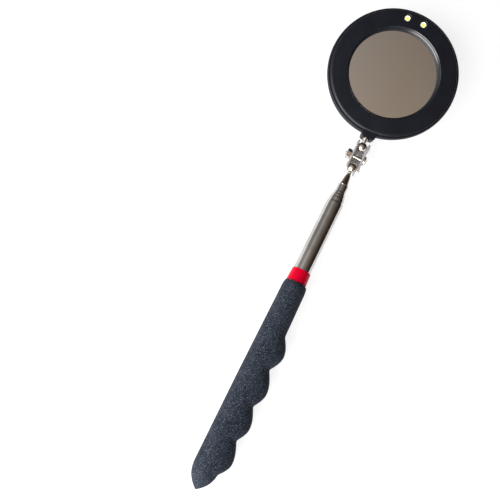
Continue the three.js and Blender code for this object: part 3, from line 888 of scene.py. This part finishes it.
def make_knob():
    low, high = extent("switch_knob", HEAD)
    middle = ((low.x + high.x) / 2, (low.y + high.y) / 2)
    top = low.z
    half_width = (high.x - low.x) / 2
    outline = rectangle(low.x, low.y, high.x, high.y, 0.8)
    knob = prism("switch_knob_ribbed", outline, top, top + 1.1, 0.25)
    stem = block(
        "stem", (middle[0] - 1.2, middle[1] - 0.8, top + 0.9), (middle[0] + 1.2, middle[1] + 0.8, high.z),
    )
    combine(knob, "UNION", [stem])
    grooves = []
    for i in range(-2, 3):
        x = middle[0] + i * half_width * 0.3
        tent = [(x - 0.22, top - 0.1), (x + 0.22, top - 0.1), (x, top + 0.38)]
        grooves.append(prism("groove", [(a, -b) for a, b in tent], low.y - 1, high.y + 1, axis="Y"))
    combine(knob, "DIFFERENCE", grooves)
    place(knob, HEAD, knob_plastic, "switch", "inner_plastic", "switch_knob")


def make_mirror():
    low, high = extent("mirror", HEAD)
    radius = (high.x - low.x) / 2
    outline = rounded([(0, low.z), (radius, low.z, 0.12), (radius, high.z, 0.2), (0, high.z)])
    place(
        lathe("mirror_plate", outline, axis="Z", sides=RING_SIDES), HEAD, silvered, "head", "glass_mirror", "mirror",
    )


def make_lamps():
    for number, (x, y, crown) in enumerate(lamp_places(), 1):
        node = f"led_{number}"
        low = extent(node, HEAD)[0].z
        radius = 1.5
        dome = [(0, low), (1.9, low), (1.9, low + 0.9), (radius, low + 1.0), (radius, crown - radius)]
        dome += arc((0, crown - radius), radius, 0, 90, 12)[1:]
        dome[-1] = (0, crown)
        at = (x, y, 0)
        epoxy = lathe(f"{node}_epoxy", dome, axis="Z", sides=48, at=at)
        place(epoxy, HEAD, lens, "head", "lamp", node)
        # a thin reflector cup wall inside the lens; its white glow is a painted highlight, the glint on the upper
        # right of the dome
        wall = [(1.28, crown - 1.9), (1.40, crown - 0.5), (1.46, crown - 0.5), (1.46, crown - 1.9)]
        place(lathe(f"{node}_reflector", wall, axis="Z", sides=48, at=at), HEAD, cup_painted_highlight, "head", "lamp")
        # the phosphor disc under the crown; its emission is painted light standing in for studio light on the unlit
        # lamp
        glow = [
            (0, low + 1.2), (1.24, low + 1.2), (1.24, crown - 1.2), (0.85, crown - 0.75), (0, crown - 0.6),
        ]
        place(lathe(f"{node}_phosphor", glow, axis="Z", sides=40, at=at), HEAD, phosphor_painted_glow, "head", "lamp")


def dress_inner_nodes():
    """Pieces that stay as the CAD made them, hidden inside, with their own materials."""
    looks = {
        "end_plug": grey_plastic, "mirror_pad": foam, "circuit_board": green_board,
        "switch_body": screw_steel,
        "battery_tray": grey_plastic, "coin_cell_1": bright, "coin_cell_2": bright, "cell_contact_1": brass,
        "cell_contact_2": brass, "cell_link": brass,
    }
    looks.update({f"bush_{stage}": brass for stage in range(2, 6)})
    for node, material in looks.items():
        mesh = frame["nodes"][node].data
        mesh.materials.clear()
        mesh.materials.append(material)


# ---------------------------------------------------------------- camera, light and floor
VIEW_ROLL = math.radians(27.21)  # the shaft's lean to the right in the picture
VIEW_DISTANCE = 0.2849  # from the upper ball, along the view
BALL_RIGHT = 0.0637  # where the upper ball sits, right of and above the picture's middle
BALL_ABOVE = 0.0583


def make_camera():
    back = Vector(JOINTS["upper_lean"]["axis"]).normalized()
    side = Vector((1, 0, 0))
    ahead = back.cross(side)
    right = math.sin(VIEW_ROLL) * ahead + math.cos(VIEW_ROLL) * side
    up = math.cos(VIEW_ROLL) * ahead - math.sin(VIEW_ROLL) * side
    ball = Vector(JOINTS["upper_lean"]["pos_m"])
    place_at = ball - BALL_RIGHT * right - BALL_ABOVE * up + VIEW_DISTANCE * back
    data = bpy.data.cameras.new("camera")
    data.sensor_width = 36
    data.lens = 36
    data.clip_start = 0.01
    data.clip_end = 50
    camera = bpy.data.objects.new("camera", data)
    camera.matrix_world = Matrix.Translation(place_at) @ Matrix((right, up, back)).transposed().to_4x4()
    bpy.context.scene.collection.objects.link(camera)
    bpy.context.scene.camera = camera


def make_softbox(name, toward, distance, size, radiance, color=(1, 1, 1)):
    """A soft rectangular light that shines on the object from a direction."""
    direction = Vector(toward).normalized()
    data = bpy.data.lights.new(name, "AREA")
    data.shape = "RECTANGLE"
    data.size, data.size_y = size
    data.energy = radiance * math.pi * size[0] * size[1]
    data.color = color
    light = bpy.data.objects.new(name, data)
    light.location = direction * distance
    light.rotation_euler = direction.to_track_quat("Z", "Y").to_euler()
    bpy.context.scene.collection.objects.link(light)


def make_floor():
    material = surface("floor_paper", (0.35, 0.35, 0.35), 0.9)
    set_input(material, "Emission Color", (1, 1, 1, 1))
    set_input(material, "Emission Strength", 0.85)
    fibres = pattern(material, "Noise", 0.4, Detail=4.0)
    set_input(material, "Normal", bump(material, fibres, 0.01, 0.2))
    half = 3
    mesh = bpy.data.meshes.new("floor")
    corners = [(-half, -half, 0), (half, -half, 0), (half, half, 0), (-half, half, 0)]
    mesh.from_pydata(corners, [], [(0, 1, 2, 3)])
    mesh.materials.append(material)
    floor = bpy.data.objects.new("floor", mesh)
    floor.location.z = -0.0001
    bpy.context.scene.collection.objects.link(floor)


def make_world():
    """A dim warm ceiling, lighter to the left and towards the handle, and plain pale to the camera."""
    world = bpy.data.worlds.new("studio")
    bpy.context.scene.world = world
    world.use_nodes = True
    tree = world.node_tree
    background = tree.nodes["Background"]
    coordinates = tree.nodes.new("ShaderNodeTexCoord")
    split = tree.nodes.new("ShaderNodeSeparateXYZ")
    tree.links.new(coordinates.outputs["Generated"], split.inputs["Vector"])
    across = ramp(world, scaled(tree, split.outputs["X"], 0.5, 0.5), [
        (0.0, (0.62, 0.62, 0.63)), (0.03, (0.30, 0.29, 0.29)), (0.10, (0.27, 0.26, 0.25)),
        (0.24, (0.47, 0.46, 0.45)), (0.33, (0.40, 0.38, 0.37)), (0.44, (0.27, 0.24, 0.22)),
        (0.55, (0.215, 0.175, 0.14)), (0.66, (0.165, 0.135, 0.112)), (0.75, (0.12, 0.095, 0.08)),
        (0.84, (0.07, 0.056, 0.048)), (0.92, (0.025, 0.021, 0.018)), (0.98, (0.03, 0.028, 0.027)),
    ])
    lengthwise = ramp(world, scaled(tree, split.outputs["Y"], 0.5, 0.5), [
        (0.40, 1.0), (0.60, 0.577), (0.723, 0.31), (0.80, 0.20), (0.845, (0.15, 0.135, 0.125)),
        (0.92, (0.055, 0.045, 0.04)), (0.97, 0.012),
    ])
    shaded = mix(world, 1.0, across, lengthwise, "MULTIPLY")
    path = tree.nodes.new("ShaderNodeLightPath")
    soft = mix(
        world, path.outputs["Is Diffuse Ray"], shaded, mix(world, 1.0, shaded, (0.04, 0.048, 0.06), "MULTIPLY"),
    )
    seen = mix(world, path.outputs["Is Camera Ray"], soft, (0.4227, 0.4227, 0.4227))
    tree.links.new(seen, background.inputs["Color"])
    background.inputs["Strength"].default_value = 2.2


def scaled(tree, source, factor, offset):
    node = tree.nodes.new("ShaderNodeMath")
    node.operation = "MULTIPLY_ADD"
    node.inputs[1].default_value = factor
    node.inputs[2].default_value = offset
    tree.links.new(source, node.inputs[0])
    return node.outputs[0]


# ---------------------------------------------------------------- assembly
make_camera()
make_world()
make_floor()
make_softbox("key", (-0.42, -0.80, 0.52), 0.75, (0.97, 0.66), 6.5)

make_grip()
make_collar()
make_tubes()
make_tip_cone()
place(
    make_ball("lower_ball_turned", LOWER_BALL, 1), SHAFT, bright, "lower_joint", "bright_parts", "lower_ball",
)
place(
    make_ball("upper_ball_turned", UPPER_BALL, -1), SHAFT, bright, "upper_joint", "bright_parts", "upper_ball",
)
make_clip()
make_clamp_screw()
make_clamp_nut()
make_stud()
make_bezel()
make_back_cover()
make_door()
for node in ("battery_door_screw", *(f"cover_screw_{i}" for i in range(1, 5))):
    make_pan_screw(node)
make_knob()
make_mirror()
make_lamps()
dress_inner_nodes()

bpy.context.scene.view_settings.view_transform = "Standard"
